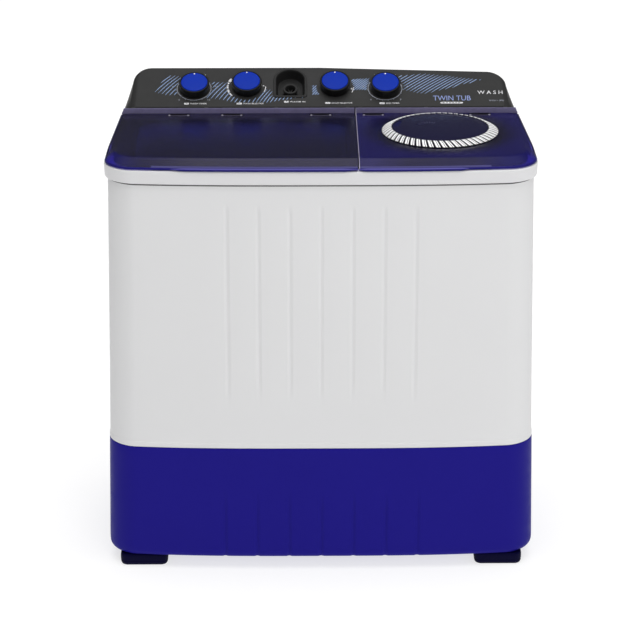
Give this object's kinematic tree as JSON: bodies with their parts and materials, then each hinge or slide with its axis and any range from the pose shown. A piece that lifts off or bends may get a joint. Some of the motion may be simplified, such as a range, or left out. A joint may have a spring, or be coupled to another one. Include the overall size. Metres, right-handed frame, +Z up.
{
  "type": "twin tub washer",
  "caption": "Top-loading twin tub washing machine: wash tub with pulsator and a spin basket side by side under tinted hinged lids, rotary knobs on a sloping rear console.",
  "frame": {"origin": "centre of the footprint, on the floor under the feet", "axes": "+X to the user's right, +Y to the back, +Z up; the front faces -Y"},
  "size_m": [0.8764, 0.5176, 0.9476],
  "materials": {
    "base_blue": "satin moulded blue plastic",
    "casing_white": "satin white moulded plastic",
    "frame_white": "smooth white moulded plastic",
    "rail_graphite": "fine satin dark plastic",
    "deck_graphite": "satin dark plastic",
    "console_graphite": "satin dark plastic with a light pattern",
    "port_black": "satin black plastic",
    "tub_plastic": "satin pale blue-grey polypropylene",
    "pulsator_blue": "smooth blue plastic",
    "bright_steel": "ground bright steel",
    "housing_grey": "cast grey metal",
    "pulley_white": "off-white glass-filled plastic",
    "pulley_metal": "die-cast metal",
    "belt_rubber": "black rubber",
    "motor_grey": "grey painted metal",
    "zinc_steel": "zinc-plated sheet steel",
    "boot_rubber": "matt black rubber",
    "basket_blue": "smooth blue plastic",
    "drum_steel": "turned dark steel",
    "hose_grey": "soft grey plastic",
    "filter_white": "white plastic with fine slots",
    "lid_blue": "glossy see-through blue plastic",
    "vent_silver": "bright silver plated plastic fins",
    "cap_navy": "gloss dark navy plastic",
    "foot_rubber": "dark navy rubber",
    "cover_grey": "pale grey plastic sheet with air slots",
    "screw_steel": "bright zinc-plated steel",
    "knob_black": "gloss black plastic",
    "cap_blue": "gloss blue plastic",
    "unit_grey": "grey moulded plastic"
  },
  "bodies": {
    "cabinet": {"base_shell": "base_blue", "body_casing": "casing_white", "top_frame": "frame_white", "side_rail_left": "rail_graphite", "side_rail_right": "rail_graphite", "top_deck": "deck_graphite", "console_housing": "console_graphite", "inlet_pocket": "port_black", "inlet_nozzle": "port_black", "wash_tub": "tub_plastic", "shaft_housing": "housing_grey", "drive_belt": "belt_rubber", "wash_motor": "motor_grey", "motor_stand": "zinc_steel", "spin_outer_tub": "tub_plastic", "spin_boot": "boot_rubber", "spin_motor": "motor_grey", "motor_mount_1": "boot_rubber", "motor_mount_2": "boot_rubber", "motor_mount_3": "boot_rubber", "drain_valve_housing": "tub_plastic", "drain_spout": "hose_grey", "lint_filter": "filter_white", "wash_hinge_pin": "bright_steel", "spin_hinge_pin": "bright_steel", "foot_front_left": "foot_rubber", "foot_front_right": "foot_rubber", "foot_rear_left": "foot_rubber", "foot_rear_right": "foot_rubber", "rear_cover": "cover_grey", "rear_screw_1": "screw_steel", "rear_screw_2": "screw_steel", "rear_screw_3": "screw_steel", "rear_screw_4": "screw_steel", "cord_gland": "boot_rubber", "wash_timer_unit": "unit_grey", "wash_selector_unit": "unit_grey", "drain_selector_unit": "unit_grey", "spin_timer_unit": "unit_grey"},
    "wash_lid": {"wash_lid": "lid_blue"},
    "spin_lid": {"spin_lid": "lid_blue", "vent_ring": "vent_silver", "vent_cap": "cap_navy"},
    "pulsator": {"pulsator": "pulsator_blue", "pulsator_shaft": "bright_steel", "drive_pulley": "pulley_white"},
    "wash_motor_rotor": {"motor_pulley": "pulley_metal"},
    "spin_basket": {"spin_basket": "basket_blue", "spin_shaft": "bright_steel", "brake_drum": "drum_steel"},
    "brake_lever": {"brake_lever": "zinc_steel"},
    "drain_plug": {"drain_plug": "boot_rubber"},
    "wash_timer_knob": {"wash_timer_knob": "knob_black", "wash_timer_cap": "cap_blue"},
    "wash_selector_knob": {"wash_selector_knob": "knob_black", "wash_selector_cap": "cap_blue"},
    "drain_selector_knob": {"drain_selector_knob": "knob_black", "drain_selector_cap": "cap_blue"},
    "spin_timer_knob": {"spin_timer_knob": "knob_black", "spin_timer_cap": "cap_blue"}
  },
  "joints": [
    {"name": "wash_lid_hinge", "type": "hinge", "parent": "cabinet", "child": "wash_lid", "pos_m": [-0.161, 0.0925, 0.8855], "axis": [-1, 0, 0], "range_deg": [0, 90]},
    {"name": "spin_lid_hinge", "type": "hinge", "parent": "cabinet", "child": "spin_lid", "pos_m": [0.24, 0.0925, 0.8855], "axis": [-1, 0, 0], "range_deg": [0, 90]},
    {"name": "wash_timer_turn", "type": "hinge", "parent": "cabinet", "child": "wash_timer_knob", "pos_m": [-0.2605, 0.14931, 0.9154], "axis": [0, 0.4571, -0.8894], "range_deg": [0, 300]},
    {"name": "wash_selector_turn", "type": "hinge", "parent": "cabinet", "child": "wash_selector_knob", "pos_m": [-0.1515, 0.15287, 0.91723], "axis": [0, 0.4571, -0.8894], "range_deg": [-60, 60]},
    {"name": "drain_selector_turn", "type": "hinge", "parent": "cabinet", "child": "drain_selector_knob", "pos_m": [0.032, 0.15287, 0.91723], "axis": [0, 0.4571, -0.8894], "range_deg": [0, 100]},
    {"name": "spin_timer_turn", "type": "hinge", "parent": "cabinet", "child": "spin_timer_knob", "pos_m": [0.137, 0.14886, 0.91517], "axis": [0, 0.4571, -0.8894], "range_deg": [0, 300]},
    {"name": "pulsator_spin", "type": "hinge", "parent": "cabinet", "child": "pulsator", "pos_m": [-0.161, -0.034, 0.37], "axis": [0, 0, 1], "continuous": true},
    {"name": "wash_motor_spin", "type": "hinge", "parent": "cabinet", "child": "wash_motor_rotor", "pos_m": [0.03, -0.034, 0.276], "axis": [0, 0, 1], "continuous": true},
    {"name": "spin_basket_spin", "type": "hinge", "parent": "cabinet", "child": "spin_basket", "pos_m": [0.2417, -0.047, 0.43], "axis": [0, 0, 1], "continuous": true},
    {"name": "brake_lever_swing", "type": "hinge", "parent": "cabinet", "child": "brake_lever", "pos_m": [0.301, 0.03, 0.33], "axis": [0, 0, 1], "range_deg": [-1.3, 0]},
    {"name": "drain_plug_slide", "type": "slide", "parent": "cabinet", "child": "drain_plug", "axis": [0, 0, 1], "range_m": [0, 0.012]}
  ],
  "couplings": [
    {"joint": "wash_motor_spin", "follows": "pulsator_spin", "ratio": 3.585},
    {"joint": "brake_lever_swing", "follows": "spin_lid_hinge", "ratio": -0.014},
    {"joint": "drain_plug_slide", "follows": "drain_selector_turn", "m_per_rad": 0.00687}
  ]
}
